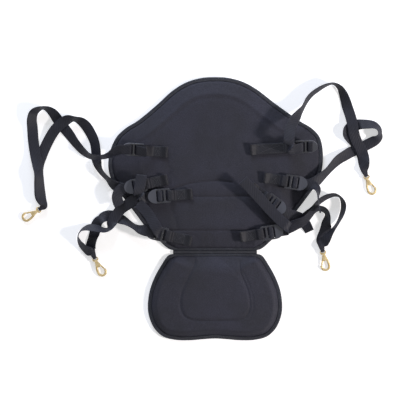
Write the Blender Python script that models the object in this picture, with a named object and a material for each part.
"""Moulded kayak seat, opened out and lying face down.

The fronts of the backrest and of the seat pad lie on the surface, so the webbing tabs, the ladder-lock buckles and
the four bridle straps with their snap hooks are on top. Sizes are in millimetres, in a frame whose origin is the
middle of the hinge line: +X across the seat, +Y up the backrest, +Z away from the surface. An empty carries
every piece and puts the seat's own origin in the middle of its base.
"""

import math

import bmesh
import bpy
import numpy as np
from mathutils import Matrix, Vector

MM = 0.001

# Driving dimensions of the two moulded panels
BACK_WIDTH = 502.0
BACK_HEIGHT = 411.0
BACK_THICKNESS = 17.0
PAD_WIDTH = 316.0
PAD_DEPTH = 207.5
PAD_THICKNESS = 21.0
HINGE_GAP = 9.4
HINGE_HALF_WIDTH = 100.0
STRIP_THICKNESS = 1.2
CLEARANCE = 0.3

# The stitched edge: a flange of squashed foam inside a folded tape
TAPE_WALL = 1.0
TAPE_WIDTH = 9.0
FLANGE_THICKNESS = 4.4
FACE_STEP = 4.0
BACK_SLOPE_TOP = 30.0
BACK_SLOPE_SIDE = 36.0
PAD_SLOPE = 14.0
GROOVE_RADIUS = 3.0
GROOVE_DEPTH = 1.4

# Webbing and its hardware
WEBBING_WIDTH = 25.4
WEBBING_THICKNESS = 1.6
BUCKLE_WIDTH = 34.0
BUCKLE_LENGTH = 50.0
BUCKLE_THICKNESS = 3.2
BUCKLE_BAR = 4.5
BUCKLE_SLOT = 6.0
BUCKLE_MIDDLE_BAR = 5.2
SLOT_SIDE_CLEARANCE = 0.6
TAB_PATCH_LIFT = 0.3
TAB_RISE_RUN = 6.0
TAB_LOOP_HEIGHT = 7.0

# Snap hook
HOOK_LENGTH = 50.0
HOOK_BOWL_RADIUS = 9.0
HOOK_BAR = 5.0
HOOK_THICKNESS = 5.2
BOWL_X = 1.5
NOSE_ANGLE = 22.0
PIVOT_X = 2.6
EYE_WIDTH = 10.0
EYE_LENGTH = 6.0
EYE_WALL = 2.5
GATE_WIDTH = 3.2
GATE_THICKNESS = 2.4
PIN_RADIUS = 0.8
EYE_WEBBING_WIDTH = 9.0

# Lengths that follow from the ones above
SEAT_ORIGIN_Y = (PAD_DEPTH - BACK_HEIGHT) / 2.0
TAPE_HEIGHT = FLANGE_THICKNESS + 2 * (TAPE_WALL + CLEARANCE)
CORE_SHARE = 0.35
BACK_CORE_Y = BACK_HEIGHT * 0.53
PAD_CORE_Y = -PAD_DEPTH * 0.56
BUCKLE_SLOT_REACH = WEBBING_WIDTH / 2.0 + SLOT_SIDE_CLEARANCE
BUCKLE_HALF = BUCKLE_THICKNESS / 2.0
FIRST_SLOT_END = BUCKLE_BAR / 2.0 + BUCKLE_SLOT
LEG_SLOT = (FIRST_SLOT_END + BUCKLE_MIDDLE_BAR, FIRST_SLOT_END + BUCKLE_MIDDLE_BAR + BUCKLE_SLOT)
TAIL_SLOT = (LEG_SLOT[1] + BUCKLE_BAR, LEG_SLOT[1] + BUCKLE_BAR + BUCKLE_SLOT)
EYE_REACH = EYE_LENGTH / 2.0 + EYE_WALL
BOWL_OUTER = HOOK_BOWL_RADIUS + HOOK_BAR / 2.0
BOWL_INNER = HOOK_BOWL_RADIUS - HOOK_BAR / 2.0
BOWL_Y = EYE_REACH - HOOK_LENGTH + BOWL_OUTER
PIVOT_Y = -EYE_REACH - 6.5
SPINE_X = BOWL_X - BOWL_OUTER

# Each outline is half of a symmetric shape, as shares of half the width and of the height or depth,
# from the hinge edge round to the centre line
BACK_SHAPE = [
    (0.446, 0.012), (0.530, 0.058), (0.630, 0.117), (0.745, 0.211), (0.861, 0.305), (0.956, 0.388),
    (0.998, 0.462), (1.000, 0.556), (0.954, 0.650), (0.876, 0.702), (0.757, 0.748), (0.566, 0.838),
    (0.382, 0.931), (0.255, 0.974), (0.120, 0.996), (0.0, 1.0),
]
PAD_SHAPE = [
    (0.700, 0.020), (0.800, 0.130), (0.905, 0.280), (0.975, 0.435), (1.000, 0.620), (0.975, 0.740),
    (0.900, 0.865), (0.775, 0.955), (0.590, 0.995), (0.370, 1.000), (0.180, 0.988), (0.0, 0.980),
]
BACK_CREASES = [
    {"height": 0.412, "half_width": 0.42, "bow": 0.020},
    {"height": 0.325, "half_width": 0.32, "bow": 0.0},
    {"height": 0.130, "half_width": 0.40, "bow": -0.004},
]
# As it lies, the backrest leans to one side at its shoulders: by how much, at what share of its height, and
# over what share of it
BACK_LEAN = 8.5
BACK_LEAN_LEVEL = 0.72
BACK_LEAN_SPREAD = 0.15
PAD_BELL = [
    (0.300, 0.075), (0.315, 0.140), (0.420, 0.350), (0.465, 0.540), (0.440, 0.720), (0.330, 0.800), (0.0, 0.825),
]

# A buckle's place is the middle of the bar that its tab folds round: x, y, height over the panel, heading of its
# tongue and roll about its own length, in degrees, and how far back its tab is sewn
BUCKLES = {
    "left_top": {"x": -168, "y": 238, "height": 18, "heading": 176, "roll": -32, "tab": 58, "leg": "over tongue"},
    "left_outer": {"x": -163, "y": 159.5, "height": 9, "heading": 192, "roll": 0, "tab": 54},
    "left_inner": {"x": -107, "y": 132.5, "height": 9, "heading": 184, "roll": 0, "tab": 55},
    "left_bottom": {"x": -113, "y": 39, "height": 9, "heading": 167, "roll": 0, "tab": 60, "leg": "over tongue"},
    "right_top": {"x": 189, "y": 245, "height": 18, "heading": 3, "roll": 32, "tab": 108, "leg": "over tab"},
    "right_outer": {"x": 166, "y": 166, "height": 9, "heading": -9, "roll": 0, "tab": 54},
    "right_inner": {"x": 123, "y": 124, "height": 9, "heading": -36, "roll": 0, "tab": 52},
    "right_bottom": {"x": 110, "y": 43, "height": 9, "heading": 9, "roll": 0, "tab": 53},
}

# A hook's place is the middle of its eye; its heading points from the eye to the bowl, and a turned hook
# lies on its other side
HOOKS = {
    "left_upper": {"x": -414.5, "y": 99, "height": 6.2, "heading": 212.5, "turned": True},
    "left_lower": {"x": -281, "y": -17, "height": 6.2, "heading": -65, "turned": False},
    "right_upper": {"x": 356, "y": 176, "height": 6.2, "heading": -70, "turned": False},
    "right_lower": {"x": 253.6, "y": -1, "height": 6.2, "heading": -77, "turned": True},
}

COLOURS = {
    "foam_fabric": ((0.046, 0.050, 0.065), 0.85, 0.0),
    "tape": ((0.025, 0.026, 0.033), 0.75, 0.0),
    "webbing": ((0.024, 0.026, 0.033), 0.7, 0.0),
    "buckle_plastic": ((0.070, 0.075, 0.090), 0.4, 0.0),
    "brass": ((0.60, 0.45, 0.22), 0.35, 1.0),
    "steel": ((0.55, 0.53, 0.50), 0.35, 1.0),
}

# Each bridle strap runs from one buckle out to its hook and back to the next buckle. A route point is x, y, lift of
# the webbing's lower edge over the surface and roll in degrees; a point of five numbers gives x, y, the height of
# the webbing's middle, roll, and the heading of its width. The points stay as chosen by hand.
STRAPS = {
    "left_upper": {
        "first": "left_top",
        "tail_first": [],
        "leg_first": [
            (-233, 234.5, 23, -42), (-245, 228, 17, -58), (-259, 223, 13, -66), (-275, 222, 12.8, -66),
            (-290, 224, 10, -60), (-305, 233, 4, -50), (-317, 244, 0.5, -42), (-328, 257, 0.3, -36),
            (-342, 276, 0.3, -20), (-359, 297, 0.3, -6), (-371, 313, 0.3, -10), (-380, 326, 0.3, -30),
            (-392, 335, 0.3, -56), (-404, 338, 0.3, -76), (-417, 334, 0.3, -62), (-426, 326, 0.3, -42),
            (-430, 310, 0.3, -30), (-429, 292, 0.3, -15), (-427, 264, 4, -3), (-423, 236, 5.5, -3),
            (-417, 207, 5.8, -18), (-412, 179, 4.6, -44), (-411, 153, 3.4, -32), (-408, 128, 4, -28),
        ],
        "leg_second": [
            (-410.5, 128, 0.3, 30), (-413, 153, 0.3, 32), (-414, 179, 0.3, 46), (-414, 205, 0.3, 18),
            (-406, 230, 0.3, 4), (-396, 253, 0.3, 6), (-384, 275, 2.0, 8), (-374, 289, 5.0, 6),
            (-360, 302, 7.0, 8), (-344, 311, 5.0, 36), (-330, 312, 1.0, 64), (-315, 307, 0.3, 40),
            (-303, 296, 0.3, 18), (-291, 277, 0.3, 18), (-283, 258, 0.3, 22), (-280, 240, 0.3, 24),
            (-278, 216, 0.3, 24), (-268, 190, 1.0, 58), (-252, 172, 4.0, 62), (-240, 160, 8, 38),
            (-229, 153, 12, 14),
        ],
        "second": "left_outer",
        "tail_second": [
            (-220, 147, 20, -8), (-226, 139, 18.5, -14), (-229, 129, 18, -12), (-227, 118, 17.5, -8),
            (-223, 109, 17.5, -6),
        ],
    },
    "left_lower": {
        "first": "left_inner",
        "tail_first": [
            (-171, 181, 35, 0, 180), (-173, 163, 36.5, 0, 180), (-176, 149, 37.5, 5, 170), (-178, 139, 36.5, 15, 145),
            (-175, 131.5, 32.5, 26, 118), (-168, 128, 27.5, 24, 98), (-161.5, 127.6, 23.0, 3, 95),
        ],
        "leg_first": [
            (-172, 127, 18, 0), (-188, 123, 18, 0), (-204, 112, 15, 3), (-220, 101, 9, 5), (-233, 85, 8, 6),
            (-241, 71, 7, 14), (-244.5, 61, 4, 44), (-249, 54, 2, 66), (-257, 52, 3, 66), (-268, 54, 8, 56),
            (-284, 57, 9, 50), (-299, 58, 5, 58), (-310, 54, 0.3, 74), (-318, 46, 0.3, 82),
            (-321, 38, 0.3, 82), (-319, 28, 0.3, 68), (-314, 18, 0.3, 56), (-305, 8, 3.5, 48),
            (-295, 1.5, 6, 30),
        ],
        "leg_second": [
            (-292.5, 6, 0.3, -8), (-291, 19, 0.3, -24), (-287, 33, 0.3, -28), (-283, 45, 0.3, -8),
            (-281, 58, 0.3, -4), (-276, 69, 0.3, -14), (-268, 77, 0.3, -36), (-257, 84, 0.3, -10),
            (-245, 85.5, 0.3, -4), (-232, 82, 0.3, -8), (-219, 76, 0.3, -28), (-205, 69, 0.3, -54),
            (-192, 61.5, 1.5, -62), (-181, 57, 7.5, -50), (-172, 53.5, 18.0, -20),
        ],
        "second": "left_bottom",
        "tail_second": [
            (-128.4, 43.2, 34.5, 0, 70), (-129.5, 46, 39.5, 0, 52), (-133, 52, 43.5, 0, 36), (-138.5, 61, 43.5, 0, 30),
            (-144.5, 71.5, 41.5, 0, 33), (-151, 82, 39, 0, 38), (-158, 92, 37.2, 0, 43), (-167, 102, 36.5, 0, 47),
            (-180, 114, 36, 0, 49),
        ],
    },
    "right_upper": {
        "first": "right_top",
        "tail_first": [],
        "leg_first": [
            (175, 246, 50, 28, 98), (171, 247, 54, 14, 116), (170, 250, 57, 0, 145), (170.5, 257, 59, 0, 165),
            (171.5, 270, 57, 0, 170), (175, 289, 51, 8, 166), (183, 306, 43, 24, 158), (193, 319, 33, 44, 152),
            (204, 335, 10, 66), (216, 357, 3, 66), (228, 371, 1, 66), (242, 381, 0.5, 68), (258, 390, 0.3, 75),
            (277, 395, 0.3, 83), (291, 387, 0.3, 68), (299, 375, 0.3, 50), (305, 360, 0.3, 32), (311, 340, 2.0, 12),
            (317, 321, 8, 6), (322, 300, 12.5, 4), (325, 281, 13.5, 4), (331, 262, 10.5, 4), (341, 244, 8.4, 3),
            (348, 227, 6, 10), (350.5, 207, 5.5, 28),
        ],
        "leg_second": [
            (349, 207, 0.3, -26), (346, 226, 1.5, -10), (336, 246, 4.6, 0), (328, 258, 4.2, 0),
            (318, 267, 1.4, 18), (310, 275, 0.3, 34), (310, 285, 0.3, 34), (318, 293, 0.6, 12),
            (330, 298, 0.6, 0), (345, 300, 0.3, -24), (360, 300, 0.3, -32), (373, 298, 0.3, -42),
            (384, 290, 0.3, -56), (387, 278, 0.3, -62), (384, 269, 0.3, -44), (374, 261, 0.3, -16),
            (357, 252, 0.3, -3), (341, 243, 0.3, 0), (322, 236, 0.3, -4), (306, 227, 0.3, -16),
            (289, 216, 0.3, -28), (274, 201, 0.3, -44), (263, 189, 2.0, -48), (251, 178, 6, -38),
            (239, 168, 13.5, -16), (228, 161.5, 17.8, -4),
        ],
        "second": "right_outer",
        "tail_second": [
            (226, 155.5, 24.0, -6, 80), (235, 149.5, 29.5, -42, 58), (239, 138, 37, -72, 20), (240, 124, 40, -80, 5),
            (242, 108, 40, -80, 6), (245, 92, 39.5, -78, 8),
        ],
    },
    "right_lower": {
        "first": "right_inner",
        "tail_first": [
            (222, 48, 0.3, -36), (217.5, 57, 2.0, -26), (210, 69, 6.5, -5), (201, 79, 11, -6),
            (189, 84, 14.5, -5), (176, 88, 17.5, -3),
        ],
        "leg_first": [
            (176, 85.5, 13, 3), (188, 77, 5, 6), (199, 74, 0.6, 8), (209, 79, 0.3, 12), (218, 90, 0.3, 42),
            (231, 102, 0.3, 54), (240, 114, 0.3, 60), (252, 124, 0.3, 58), (266, 131, 0.3, 63), (281, 134, 0.3, 72),
            (292, 130, 0.3, 82), (298, 122, 0.3, 75), (301, 113, 0.3, 67), (301, 103, 0.3, 66), (297, 88, 0.3, 70),
            (290, 73, 1.5, 77), (280, 58, 6, 76), (270, 44, 5.5, 62), (261, 31, 6, 36), (254, 22, 5.5, 20),
        ],
        "leg_second": [
            (250.5, 24, 0.3, -12), (252, 34, 0.3, -5), (257, 46, 0.3, -4), (261, 60, 0.3, -10), (262, 72, 0.3, -45),
            (264, 84, 0.3, -62), (262, 93, 0.3, -66), (256, 99, 0.5, -62), (247, 102, 3.0, -60), (238, 101, 6.0, -55),
            (230, 96, 9.0, -55), (221.5, 86.5, 12, -52), (212, 76.5, 15, -44), (202, 70, 17.5, -32),
            (190, 65, 18, -16), (178, 59, 18, -6),
        ],
        "second": "right_bottom",
        "tail_second": [
            (166.5, 52, 23.8, 0, 97), (171, 54, 29.5, 0, 84), (171, 58, 34, 0, 66), (166, 63, 37.5, 0, 52),
            (156, 71, 38, 0, 45), (130, 97, 38.5, 0, 44), (97, 133, 42, 0, 44), (64, 168, 47, 0, 44),
        ],
    },
}

STRAP_STEP = 9.0
STRAP_FINE_STEP = 3.0


def collection(name):
    """A new collection under the scene."""
    made = bpy.data.collections.new(name)
    bpy.context.scene.collection.children.link(made)
    return made


def material(name):
    """The Principled material of one finish."""
    colour, roughness, metallic = COLOURS[name]
    made = bpy.data.materials.get(name) or bpy.data.materials.new(name)
    made.use_nodes = True
    shader = made.node_tree.nodes["Principled BSDF"]
    shader.inputs["Base Color"].default_value = (*colour, 1.0)
    shader.inputs["Roughness"].default_value = roughness
    shader.inputs["Metallic"].default_value = metallic
    made.diffuse_color = (*colour, 1.0)
    return made


def add_object(name, data, finish=None, frame=None):
    """Links an object to the seat's collection, on its carrier, at a place given in millimetres."""
    obj = bpy.data.objects.new(name, data)
    seat.objects.link(obj)
    obj.parent = carrier
    if frame is not None:
        place = frame.copy()
        place.translation = frame.translation * MM
        obj.matrix_local = place
    if finish:
        data.materials.append(material(finish))
    return obj


def add_cutter(name, data, frame=None):
    """Links a cutting shape, which is only a guide, to the cutters' collection."""
    obj = bpy.data.objects.new(name, data)
    cutters.objects.link(obj)
    obj.parent = carrier
    if frame is not None:
        place = frame.copy()
        place.translation = frame.translation * MM
        obj.matrix_local = place
    obj.hide_render = True
    obj.display_type = "WIRE"
    return obj


def cut(obj, cutter, operation="DIFFERENCE"):
    """Puts a Boolean with one cutter on an object."""
    modifier = obj.modifiers.new(cutter.name, "BOOLEAN")
    modifier.operation = operation
    modifier.object = cutter


def finished_mesh(obj, name):
    """The mesh that an object's modifiers leave, as a new mesh; the object itself is removed."""
    graph = bpy.context.evaluated_depsgraph_get()
    mesh = bpy.data.meshes.new_from_object(obj.evaluated_get(graph))
    mesh.name = name
    bpy.data.objects.remove(obj)
    return mesh


def mesh_from(name, points, faces):
    """A mesh from points in millimetres and faces."""
    mesh = bpy.data.meshes.new(name)
    mesh.from_pydata((np.asarray(points) * MM).tolist(), [], faces)
    mesh.validate()
    mesh.update()
    return mesh


def smooth_curve(points, counts, closed=False):
    """Centripetal Catmull-Rom curve through rows of numbers, with a count of samples for each span."""
    points = np.asarray(points, dtype=float)
    if closed:
        padded = np.vstack([points[-1], points, points[0], points[1]])
    else:
        padded = np.vstack([2 * points[0] - points[1], points, 2 * points[-1] - points[-2]])
    samples = []
    for span, count in enumerate(counts):
        p0, p1, p2, p3 = padded[span:span + 4]
        t0 = 0.0
        t1 = t0 + max(np.linalg.norm((p1 - p0)[:3]), 1e-6) ** 0.5
        t2 = t1 + max(np.linalg.norm((p2 - p1)[:3]), 1e-6) ** 0.5
        t3 = t2 + max(np.linalg.norm((p3 - p2)[:3]), 1e-6) ** 0.5
        for step in range(count):
            t = t1 + (t2 - t1) * step / count
            a1 = (t1 - t) / (t1 - t0) * p0 + (t - t0) / (t1 - t0) * p1
            a2 = (t2 - t) / (t2 - t1) * p1 + (t - t1) / (t2 - t1) * p2
            a3 = (t3 - t) / (t3 - t2) * p2 + (t - t2) / (t3 - t2) * p3
            b1 = (t2 - t) / (t2 - t0) * a1 + (t - t0) / (t2 - t0) * a2
            b2 = (t3 - t) / (t3 - t1) * a2 + (t - t1) / (t3 - t1) * a3
            samples.append((t2 - t) / (t2 - t1) * b1 + (t - t1) / (t2 - t1) * b2)
    if not closed:
        samples.append(points[-1])
    return np.array(samples)


def ring_loft(name, rings, closed_section=False):
    """A closed body lofted through rings of equal point counts: capped at its first and last ring, or joined
    from the last ring back to the first where its section is closed."""
    count = len(rings[0])
    faces = []
    spans = len(rings) if closed_section else len(rings) - 1
    for ring in range(spans):
        low = ring * count
        high = ((ring + 1) % len(rings)) * count
        for i in range(count):
            j = (i + 1) % count
            faces.append((low + i, low + j, high + j, high + i))
    if not closed_section:
        faces.append(tuple(range(count - 1, -1, -1)))
        last = (len(rings) - 1) * count
        faces.append(tuple(range(last, last + count)))
    return mesh_from(name, np.vstack(rings), faces)


def panel_outline(shape, half_width, depth, side):
    """The closed outline of a panel, counter-clockwise; side is 1 above the hinge line and -1 below it."""
    edge = HINGE_GAP / 2.0
    half = [(HINGE_HALF_WIDTH, edge)]
    half += [(x * half_width, edge + y * (depth - edge)) for x, y in shape]
    mirrored = [(-x, y) for x, y in half[-2::-1]]
    loop = np.array(half + mirrored)
    spans = [3] * (len(loop) - 1) + [6]
    spans[0] = 2
    spans[len(loop) - 2] = 2
    outline = smooth_curve(loop, spans, closed=True)
    outline[:, 1] = np.maximum(outline[:, 1], edge)
    outline[:, 1] *= side
    return outline if side > 0 else outline[::-1]


def inset(outline, distance, core_y):
    """Moves an outline inwards by a distance, towards a core line that keeps it from crossing itself."""
    core = np.column_stack([outline[:, 0] * CORE_SHARE, np.full(len(outline), core_y)])
    inward = core - outline
    inward /= np.linalg.norm(inward, axis=1)[:, None]
    return outline + inward * np.asarray(distance).reshape(-1, 1)


def ring_at(outline, distance, core_y, z):
    """One ring of a panel or its tape, at an inset and a height."""
    flat = inset(outline, distance, core_y)
    return np.column_stack([flat, np.full(len(flat), z)])


def panel(name, outline, core_y, slope, thickness):
    """A moulded foam panel: face on the surface, a stepped flange for the tape, a slope and a flat padded top."""
    low = TAPE_WALL + CLEARANCE
    high = low + FLANGE_THICKNESS
    edge = TAPE_WALL + CLEARANCE
    flat = TAPE_WIDTH + 2 * CLEARANCE
    rings = [
        ring_at(outline, flat + FACE_STEP, core_y, 0.0),
        ring_at(outline, flat, core_y, low),
        ring_at(outline, edge, core_y, low),
        ring_at(outline, edge, core_y, high),
        ring_at(outline, flat, core_y, high),
        ring_at(outline, flat + slope * 0.7, core_y, high + (thickness - high) * 0.85),
        ring_at(outline, flat + slope, core_y, thickness),
    ]
    return add_object(name, ring_loft(name, rings), "foam_fabric")


def tape(name, outline, core_y):
    """The folded tape round a panel's flange, a U in section with its back outwards."""
    top = TAPE_HEIGHT
    corner = 1.6
    section = [
        (TAPE_WIDTH, 0.0), (corner, 0.0), (0.0, corner), (0.0, top - corner), (corner, top), (TAPE_WIDTH, top),
        (TAPE_WIDTH, top - TAPE_WALL), (TAPE_WALL, top - TAPE_WALL), (TAPE_WALL, TAPE_WALL), (TAPE_WIDTH, TAPE_WALL),
    ]
    rings = [ring_at(outline, distance, core_y, z) for distance, z in section]
    return add_object(name, ring_loft(name, rings, closed_section=True), "tape")


def groove_cutter(name, route, z):
    """A round bar along a route, for cutting a moulded line into a panel's top."""
    curve = bpy.data.curves.new(name, "CURVE")
    curve.dimensions = "3D"
    curve.bevel_depth = GROOVE_RADIUS * MM
    curve.bevel_resolution = 2
    curve.use_fill_caps = True
    spline = curve.splines.new("POLY")
    spline.points.add(len(route) - 1)
    for point, (x, y) in zip(spline.points, route):
        point.co = (x * MM, y * MM, (z + GROOVE_RADIUS - GROOVE_DEPTH) * MM, 1.0)
    guide = add_object(name, curve)
    mesh = finished_mesh(guide, name)
    return add_cutter(name, welded(mesh))


def welded(mesh):
    """Closes the loose caps of a mesh that came from a curve."""
    work = bmesh.new()
    work.from_mesh(mesh)
    bmesh.ops.remove_doubles(work, verts=work.verts, dist=1e-6)
    bmesh.ops.recalc_face_normals(work, faces=work.faces)
    work.to_mesh(mesh)
    work.free()
    return mesh


def flat_shape(name, outlines, thickness):
    """A flat outline, with its holes as further outlines, extruded to a thickness about its own plane."""
    curve = bpy.data.curves.new(name, "CURVE")
    curve.dimensions = "2D"
    curve.fill_mode = "BOTH"
    curve.extrude = thickness * MM / 2.0
    for outline in outlines:
        spline = curve.splines.new("POLY")
        spline.points.add(len(outline) - 1)
        for point, (x, y) in zip(spline.points, outline):
            point.co = (x * MM, y * MM, 0.0, 1.0)
        spline.use_cyclic_u = True
    guide = add_object(name, curve)
    return welded(finished_mesh(guide, name))


def arc(cx, cy, rx, ry, start, end, count):
    """Points on an elliptical arc, in degrees, both ends included."""
    angles = np.radians(np.linspace(start, end, count))
    return [(cx + rx * math.cos(a), cy + ry * math.sin(a)) for a in angles]


def rounded_box(x0, x1, y0, y1, radius, count=3):
    """The outline of a rectangle with round corners."""
    return (
        arc(x1 - radius, y1 - radius, radius, radius, 0, 90, count)
        + arc(x0 + radius, y1 - radius, radius, radius, 90, 180, count)
        + arc(x0 + radius, y0 + radius, radius, radius, 180, 270, count)
        + arc(x1 - radius, y0 + radius, radius, radius, 270, 360, count)
    )


def buckle_frame(spec):
    """A buckle's place: its tab bar's middle, its heading and its roll."""
    z = BACK_THICKNESS + spec["height"]
    turn = Matrix.Rotation(math.radians(spec["heading"]), 4, "Z")
    roll = Matrix.Rotation(math.radians(spec["roll"]), 4, "X")
    return Matrix.Translation((spec["x"], spec["y"], z)) @ turn @ roll


def buckle_mesh():
    """A ladder-lock: three slots between its bars, and a round tongue to lift it by."""
    half = BUCKLE_WIDTH / 2.0
    start = -BUCKLE_BAR / 2.0
    body_end = TAIL_SLOT[1]
    outline = (
        arc(start + 2.0, half - 2.0, 2.0, 2.0, 90, 180, 3)
        + arc(start + 2.0, 2.0 - half, 2.0, 2.0, 180, 270, 3)
        + arc(body_end, 0.0, BUCKLE_LENGTH - body_end, half, -90, 90, 13)
    )
    reach = BUCKLE_SLOT_REACH
    slots = [(BUCKLE_BAR / 2.0, FIRST_SLOT_END), LEG_SLOT, TAIL_SLOT]
    holes = [[(x0, -reach), (x0, reach), (x1, reach), (x1, -reach)] for x0, x1 in slots]
    return flat_shape("ladder_lock", [outline] + holes, BUCKLE_THICKNESS)


def tab_mesh(name, spec):
    """A webbing tab from the side: sewn patch with an open loop at its end, and a fold round the buckle's bar."""
    wall = WEBBING_THICKNESS
    base = TAB_PATCH_LIFT - spec["height"]
    top = base + 2 * wall
    start = -spec["tab"]
    bar_x = BUCKLE_BAR / 2.0 + CLEARANCE
    bar_z = BUCKLE_HALF + CLEARANCE
    loop = TAB_LOOP_HEIGHT
    rise = -TAB_RISE_RUN - spec["height"]
    outline = [
        (start + 1.5, base), (rise, base), (rise + 3, base + 0.5), (-5.0, -bar_z - wall), (bar_x, -bar_z - wall),
        (bar_x + wall, -bar_z), (bar_x + wall, bar_z), (bar_x, bar_z + wall), (-4.0, bar_z + wall),
        (-8.0, bar_z), (rise, top + 1.2), (rise - 4, top), (start + 14, top),
        (start + 9, base + loop - 1.0), (start + 5, base + loop), (start + 1.5, base + loop - 1.5),
        (start, base + loop * 0.5), (start + 0.3, base + 1.0),
    ]
    eye = [
        (-7.0, -0.6), (-bar_x, -bar_z), (bar_x, -bar_z), (bar_x, bar_z), (-bar_x, bar_z),
    ]
    bight = [
        (start + 2.0, base + wall), (start + 11.0, base + wall), (start + 7.5, base + loop - wall - 0.8),
        (start + 4.5, base + loop - wall), (start + 2.6, base + loop - wall - 0.9), (start + 1.6, base + loop * 0.5),
    ]
    mesh = flat_shape(name, [outline, eye, bight], WEBBING_WIDTH)
    upright = Matrix.Rotation(math.radians(90), 4, "X")
    mesh.transform(upright)
    twist = math.radians(spec["roll"])
    for vertex in mesh.vertices:
        share = min(max((vertex.co.x / MM - rise - 3.0) / (-11.2 - rise), 0.0), 1.0)
        pivot = Vector((0.0, 0.0, (base + wall) * MM * (1.0 - share)))
        vertex.co = Matrix.Rotation(twist * share, 3, "X") @ (vertex.co - pivot) + pivot
    return mesh


def hook_frame(spec):
    """A hook's place: the middle of its eye, lying flat with its bowl end down on the surface."""
    drop = math.asin((spec["height"] - HOOK_THICKNESS / 2.0 - CLEARANCE) / (HOOK_LENGTH - EYE_REACH))
    turn = Matrix.Rotation(math.radians(spec["heading"] + 90), 4, "Z")
    dip = Matrix.Rotation(drop, 4, "X")
    side = Matrix.Rotation(math.pi if spec["turned"] else 0.0, 4, "Y")
    return Matrix.Translation((spec["x"], spec["y"], spec["height"])) @ turn @ dip @ side


def hook_mesh():
    """The cast hook: eye, neck, spine, bowl and nose in one outline, cut for its gate and the gate's pin."""
    nose = math.radians(NOSE_ANGLE)
    nose_x = BOWL_X + HOOK_BOWL_RADIUS * math.cos(nose)
    nose_y = BOWL_Y + HOOK_BOWL_RADIUS * math.sin(nose)
    half = HOOK_BAR / 2.0
    outline = (
        arc(0.0, 0.0, EYE_WIDTH / 2.0 + EYE_WALL, EYE_REACH, -50, 230, 15)
        + [(-3.4, -EYE_REACH - 1.5), (-4.2, -EYE_REACH - 5.0), (SPINE_X + 1.4, BOWL_Y + 12.0)]
        + arc(BOWL_X, BOWL_Y, BOWL_OUTER, BOWL_OUTER, 170, 360 + NOSE_ANGLE, 15)
        + arc(nose_x, nose_y, half, half, NOSE_ANGLE + 40, NOSE_ANGLE + 140, 4)
        + arc(BOWL_X, BOWL_Y, BOWL_INNER, BOWL_INNER, 360 + NOSE_ANGLE, 165, 12)
        + [(SPINE_X + HOOK_BAR + 1.4, BOWL_Y + 9.0), (-1.0, PIVOT_Y - 4.5), (PIVOT_X + 2.4, PIVOT_Y - 2.4)]
        + [(PIVOT_X + 2.6, PIVOT_Y + 1.0), (3.4, -EYE_REACH - 1.5)]
    )
    eye = rounded_box(-EYE_WIDTH / 2.0, EYE_WIDTH / 2.0, -EYE_LENGTH / 2.0, EYE_LENGTH / 2.0, 1.0)
    mesh = flat_shape("snap_hook_body", [outline, eye], HOOK_THICKNESS)
    body = add_object("hook_blank", mesh)
    slot_depth = GATE_THICKNESS + 2 * CLEARANCE
    slot = add_cutter("gate_slot", box_mesh("gate_slot", 16.0, 8.6, slot_depth))
    slot.matrix_local = Matrix.Translation(Vector((PIVOT_X + 3.6, PIVOT_Y - 1.2, 0.0)) * MM)
    bore = add_cutter("pin_bore", rod_mesh("pin_bore", PIN_RADIUS + CLEARANCE, HOOK_THICKNESS * 2))
    bore.matrix_local = Matrix.Translation(Vector((PIVOT_X, PIVOT_Y, 0.0)) * MM)
    cut(body, slot)
    cut(body, bore)
    return finished_mesh(body, "snap_hook_body")


def box_mesh(name, x, y, z):
    """A box about the origin, with its size in millimetres applied."""
    bpy.ops.mesh.primitive_cube_add(size=1.0)
    made = bpy.context.object
    mesh = made.data
    mesh.name = name
    bpy.data.objects.remove(made)
    mesh.transform(Matrix.Diagonal((x * MM, y * MM, z * MM, 1.0)))
    return mesh


def rod_mesh(name, radius, length, sides=16):
    """A round rod about the origin, along Z."""
    bpy.ops.mesh.primitive_cylinder_add(vertices=sides, radius=radius * MM, depth=length * MM)
    made = bpy.context.object
    mesh = made.data
    mesh.name = name
    bpy.data.objects.remove(made)
    return mesh


def gate_angle():
    """The heading of a closed gate in its hook's frame: its tip rests inside the nose."""
    nose = math.radians(NOSE_ANGLE)
    x = BOWL_X + HOOK_BOWL_RADIUS * math.cos(nose) - PIVOT_X
    y = BOWL_Y + HOOK_BOWL_RADIUS * math.sin(nose) - PIVOT_Y
    reach = math.hypot(x, y)
    return math.atan2(y, x), reach


def gate_mesh():
    """The spring gate: a straight bar with a round root on the pin, reaching to just short of the nose."""
    _, reach = gate_angle()
    half = GATE_WIDTH / 2.0
    tip = reach - HOOK_BAR / 2.0 - CLEARANCE - half
    outline = arc(0.0, 0.0, half, half, 90, 270, 7) + arc(tip, 0.0, half, half, -90, 90, 7)
    gate = add_object("gate_blank", flat_shape("snap_hook_gate", [outline], GATE_THICKNESS))
    bore = add_cutter("gate_bore", rod_mesh("gate_bore", PIN_RADIUS + CLEARANCE, HOOK_THICKNESS * 2))
    cut(gate, bore)
    return finished_mesh(gate, "snap_hook_gate")


def unit(vector):
    """A vector, or each row of an array, scaled to length one."""
    vector = np.asarray(vector, dtype=float)
    length = np.linalg.norm(vector, axis=-1, keepdims=True)
    return vector / np.maximum(length, 1e-9)


def placed(frame, points, width_axis, width):
    """Strap stations given in a buckle's or a hook's own frame: middle, width direction and width."""
    direction = np.array((frame.to_3x3() @ Vector(width_axis))[:])
    return [(np.array((frame @ Vector(point))[:]), direction, width) for point in points]


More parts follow.
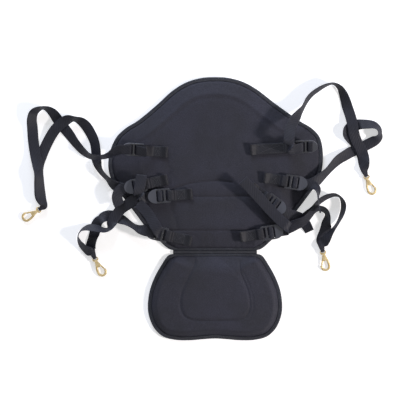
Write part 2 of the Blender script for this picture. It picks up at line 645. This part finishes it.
def buckle_stations(spec):
    """The webbing's way through a buckle, from its leg to its tail: up the leg slot, over the bar between the
    slots and down the tail slot; where the buckle was threaded from above, the same way mirrored."""
    under = BUCKLE_HALF + CLEARANCE + WEBBING_THICKNESS / 2.0
    leg_x = LEG_SLOT[0] + BUCKLE_SLOT / 2.0
    tail_x = (TAIL_SLOT[0] + TAIL_SLOT[1]) / 2.0
    bar_x = (LEG_SLOT[1] + TAIL_SLOT[0]) / 2.0
    over = under + 0.3
    if "leg" in spec:
        route = [
            (-9.0, 0, over + 7.0), (-3.0, 0, over + 4.8), (4.0, 0, over + 3.0), (11.0, 0, over + 1.2),
            (leg_x - 1.2, 0, 2.2), (leg_x, 0, 0), (leg_x + 1.2, 0, -2.2), (bar_x, 0, -over),
            (tail_x - 1.2, 0, -2.2), (tail_x, 0, 0), (tail_x + 1.2, 0, 1.9), (tail_x + 4.5, 0, over),
            (BUCKLE_LENGTH - 12.0, 0, over + 0.2),
        ]
        if spec["leg"] == "over tongue":
            route += [(BUCKLE_LENGTH - 5.0, 0, over + 1.0), (BUCKLE_LENGTH + 1.0, 0, over + 1.0)]
            route = route[::-1] if spec["height"] > 10 else route[:3:-1]
    else:
        below = under + WEBBING_THICKNESS + 2 * CLEARANCE
        route = [
            (BUCKLE_LENGTH - 2.0, 0, -below - 1.6), (36.0, 0, -below - 0.8), (27.0, 0, -below - 0.2),
            (21.5, 0, -below + 0.4),
            (leg_x + 1.0, 0, -2.6), (leg_x, 0, 0), (leg_x + 1.2, 0, 2.3), (bar_x, 0, over),
            (tail_x - 1.2, 0, 2.3), (tail_x, 0, 0), (tail_x + 1.3, 0, -2.0), (tail_x + 4.5, 0, -under - 0.1),
            (BUCKLE_LENGTH - 12.0, 0, -under - 0.5), (BUCKLE_LENGTH - 4.0, 0, -under - 0.9),
        ]
    return placed(buckle_frame(spec), route, (0, 1, 0), WEBBING_WIDTH)


def hook_stations(spec):
    """The webbing's way round the eye's bar: in over it, down through the eye and back under it."""
    frame = hook_frame({**spec, "turned": False})
    level = HOOK_THICKNESS / 2.0 + CLEARANCE + WEBBING_THICKNESS / 2.0
    inside = EYE_LENGTH / 2.0 - CLEARANCE - WEBBING_THICKNESS / 2.0 - 0.2
    corner = EYE_LENGTH / 2.0 - 0.8
    route = [
        (0, 16.0, level + 0.6), (0, 9.0, level + 0.4), (0, EYE_REACH, level + 0.2), (0, corner + 1.4, level + 0.2),
        (0, corner, level - 0.3), (0, inside, 2.0), (0, inside, 0), (0, inside, -2.0), (0, corner, -level + 0.3),
        (0, corner + 1.4, -level - 0.2), (0, EYE_REACH, -level - 0.1), (0, 9.0, -level + 0.2), (0, 16.0, -level + 0.8),
    ]
    widths = [15.0, 11.0] + [EYE_WEBBING_WIDTH] * 9 + [11.0, 15.0]
    stations = placed(frame, route, (1, 0, 0), WEBBING_WIDTH)
    return [(middle, across, width) for (middle, across, _), width in zip(stations, widths)]


def free_stations(points, before, after):
    """Strap stations for route points: the roll turns the webbing's width out of the level, about the way
    that the strap runs there."""
    half = WEBBING_WIDTH / 2.0
    middles = []
    for point in points:
        x, y, z, roll = point[:4]
        if len(point) == 4:
            z += half * abs(math.sin(math.radians(roll))) + WEBBING_THICKNESS / 2.0
        middles.append(np.array((x, y, z), dtype=float))
    chain = ([before] if before is not None else []) + middles + ([after] if after is not None else [])
    shift = 1 if before is not None else 0
    stations = []
    for i, (point, middle) in enumerate(zip(points, middles)):
        ahead = chain[min(i + shift + 1, len(chain) - 1)]
        behind = chain[max(i + shift - 1, 0)]
        along = unit(ahead - behind)
        roll = math.radians(point[3])
        if len(point) == 5:
            heading = math.radians(point[4])
            level = np.array((math.cos(heading), math.sin(heading), 0.0))
            rise = np.array((0.0, 0.0, 1.0))
        else:
            level = unit(np.array((-along[1], along[0], 0.0)))
            rise = np.cross(along, level)
        stations.append((middle, math.cos(roll) * level + math.sin(roll) * rise, WEBBING_WIDTH))
    return stations


def strap_stations(route):
    """All stations of one bridle strap, from the end of its first tail to the end of its second."""
    first = buckle_stations(BUCKLES[route["first"]])[::-1]
    hook = hook_stations(HOOKS[route["hook"]])
    second = buckle_stations(BUCKLES[route["second"]])
    stations = free_stations(route["tail_first"], None, first[0][0]) + first
    stations += free_stations(route["leg_first"], first[-1][0], hook[0][0]) + hook
    stations += free_stations(route["leg_second"], hook[-1][0], second[0][0]) + second
    stations += free_stations(route["tail_second"], second[-1][0], None)
    return stations


def strap(name, route):
    """One bridle strap: a ribbon of the webbing's section carried along its stations."""
    stations = strap_stations(route)
    rows = []
    previous = None
    for middle, across, width in stations:
        if previous is not None and np.dot(across, previous) < 0:
            across = -across
        previous = across
        rows.append(np.concatenate([middle, across, [width]]))
    rows = np.array(rows)
    gaps = np.linalg.norm(np.diff(rows[:, :3], axis=0), axis=1)
    step = np.where(gaps < 8.0, STRAP_FINE_STEP, STRAP_STEP)
    counts = np.maximum(1, np.round(gaps / step)).astype(int)
    samples = smooth_curve(rows, counts)
    middle = samples[:, :3]
    along = unit(np.gradient(middle, axis=0))
    across = samples[:, 3:6]
    across = unit(across - np.sum(across * along, axis=1)[:, None] * along)
    normal = np.cross(along, across)
    half_width = samples[:, 6:7] / 2.0
    half_wall = WEBBING_THICKNESS / 2.0
    corners = [
        middle - across * half_width - normal * half_wall, middle + across * half_width - normal * half_wall,
        middle + across * half_width + normal * half_wall, middle - across * half_width + normal * half_wall,
    ]
    rings = [np.array([corner[i] for corner in corners]) for i in range(len(middle))]
    print(name, "length mm", round(float(np.linalg.norm(np.diff(middle, axis=0), axis=1).sum())), "stations", len(rings))
    return add_object(name, ring_loft(name, rings), "webbing")


def build():
    """Makes every piece."""
    back_outline = panel_outline(BACK_SHAPE, BACK_WIDTH / 2.0, BACK_HEIGHT, 1)
    rise = (back_outline[:, 1] / BACK_HEIGHT - BACK_LEAN_LEVEL) / BACK_LEAN_SPREAD
    back_outline[:, 0] += BACK_LEAN * np.exp(-(rise ** 2))
    pad_outline = panel_outline(PAD_SHAPE, PAD_WIDTH / 2.0, PAD_DEPTH, -1)
    reach = np.clip((back_outline[:, 1] / BACK_HEIGHT - 0.55) / 0.3, 0.0, 1.0)
    back_slope = BACK_SLOPE_SIDE + (BACK_SLOPE_TOP - BACK_SLOPE_SIDE) * reach
    back = panel("backrest_panel", back_outline, BACK_CORE_Y, back_slope, BACK_THICKNESS)
    pad = panel("seat_pad_panel", pad_outline, PAD_CORE_Y, PAD_SLOPE, PAD_THICKNESS)
    tape("backrest_binding", back_outline, BACK_CORE_Y)
    tape("seat_pad_binding", pad_outline, PAD_CORE_Y)

    for number, crease in enumerate(BACK_CREASES, start=1):
        across = np.linspace(-1.0, 1.0, 9)
        xs = across * crease["half_width"] * BACK_WIDTH / 2.0
        ys = (crease["height"] + crease["bow"] * (1.0 - across ** 2)) * BACK_HEIGHT
        cut(back, groove_cutter(f"crease_line_{number}", np.column_stack([xs, ys]), BACK_THICKNESS))
    half_bell = [(x * PAD_WIDTH / 2.0, -y * PAD_DEPTH) for x, y in PAD_BELL]
    bell = half_bell + [(-x, y) for x, y in half_bell[-2::-1]]
    route = smooth_curve(np.array(bell), [3] * (len(bell) - 1))
    cut(pad, groove_cutter("bell_line", route, PAD_THICKNESS))

    strip_width = HINGE_GAP - 2 * CLEARANCE
    strip = box_mesh("hinge_strip", 2 * HINGE_HALF_WIDTH, strip_width, STRIP_THICKNESS)
    add_object("hinge_strip", strip, "tape", Matrix.Translation((0, 0, STRIP_THICKNESS / 2.0)))

    ladder_lock = buckle_mesh()
    for place, spec in BUCKLES.items():
        frame = buckle_frame(spec)
        add_object(f"ladder_lock_{place}", ladder_lock.copy(), "buckle_plastic", frame)
        level = frame @ Matrix.Rotation(-math.radians(spec["roll"]), 4, "X")
        add_object(f"tab_{place}", tab_mesh(f"tab_{place}", spec), "webbing", level)

    body, gate = hook_mesh(), gate_mesh()
    pin = rod_mesh("snap_hook_pin", PIN_RADIUS, HOOK_THICKNESS, 12)
    angle, _ = gate_angle()
    for place, spec in HOOKS.items():
        frame = hook_frame(spec)
        pivot = frame @ Matrix.Translation((PIVOT_X, PIVOT_Y, 0.0))
        add_object(f"hook_body_{place}", body.copy(), "brass", frame)
        add_object(f"hook_gate_{place}", gate.copy(), "brass", pivot @ Matrix.Rotation(angle, 4, "Z"))
        add_object(f"hook_pin_{place}", pin.copy(), "steel", pivot)

    for place, route in STRAPS.items():
        strap(f"strap_{place}", {**route, "hook": place})


for old in list(bpy.data.objects):
    bpy.data.objects.remove(old)
seat = collection("kayak_seat")
cutters = collection("kayak_seat_cutters")
carrier = bpy.data.objects.new("seat_carrier", None)
seat.objects.link(carrier)
carrier.location = (0.0, SEAT_ORIGIN_Y * MM, 0.0)
build()
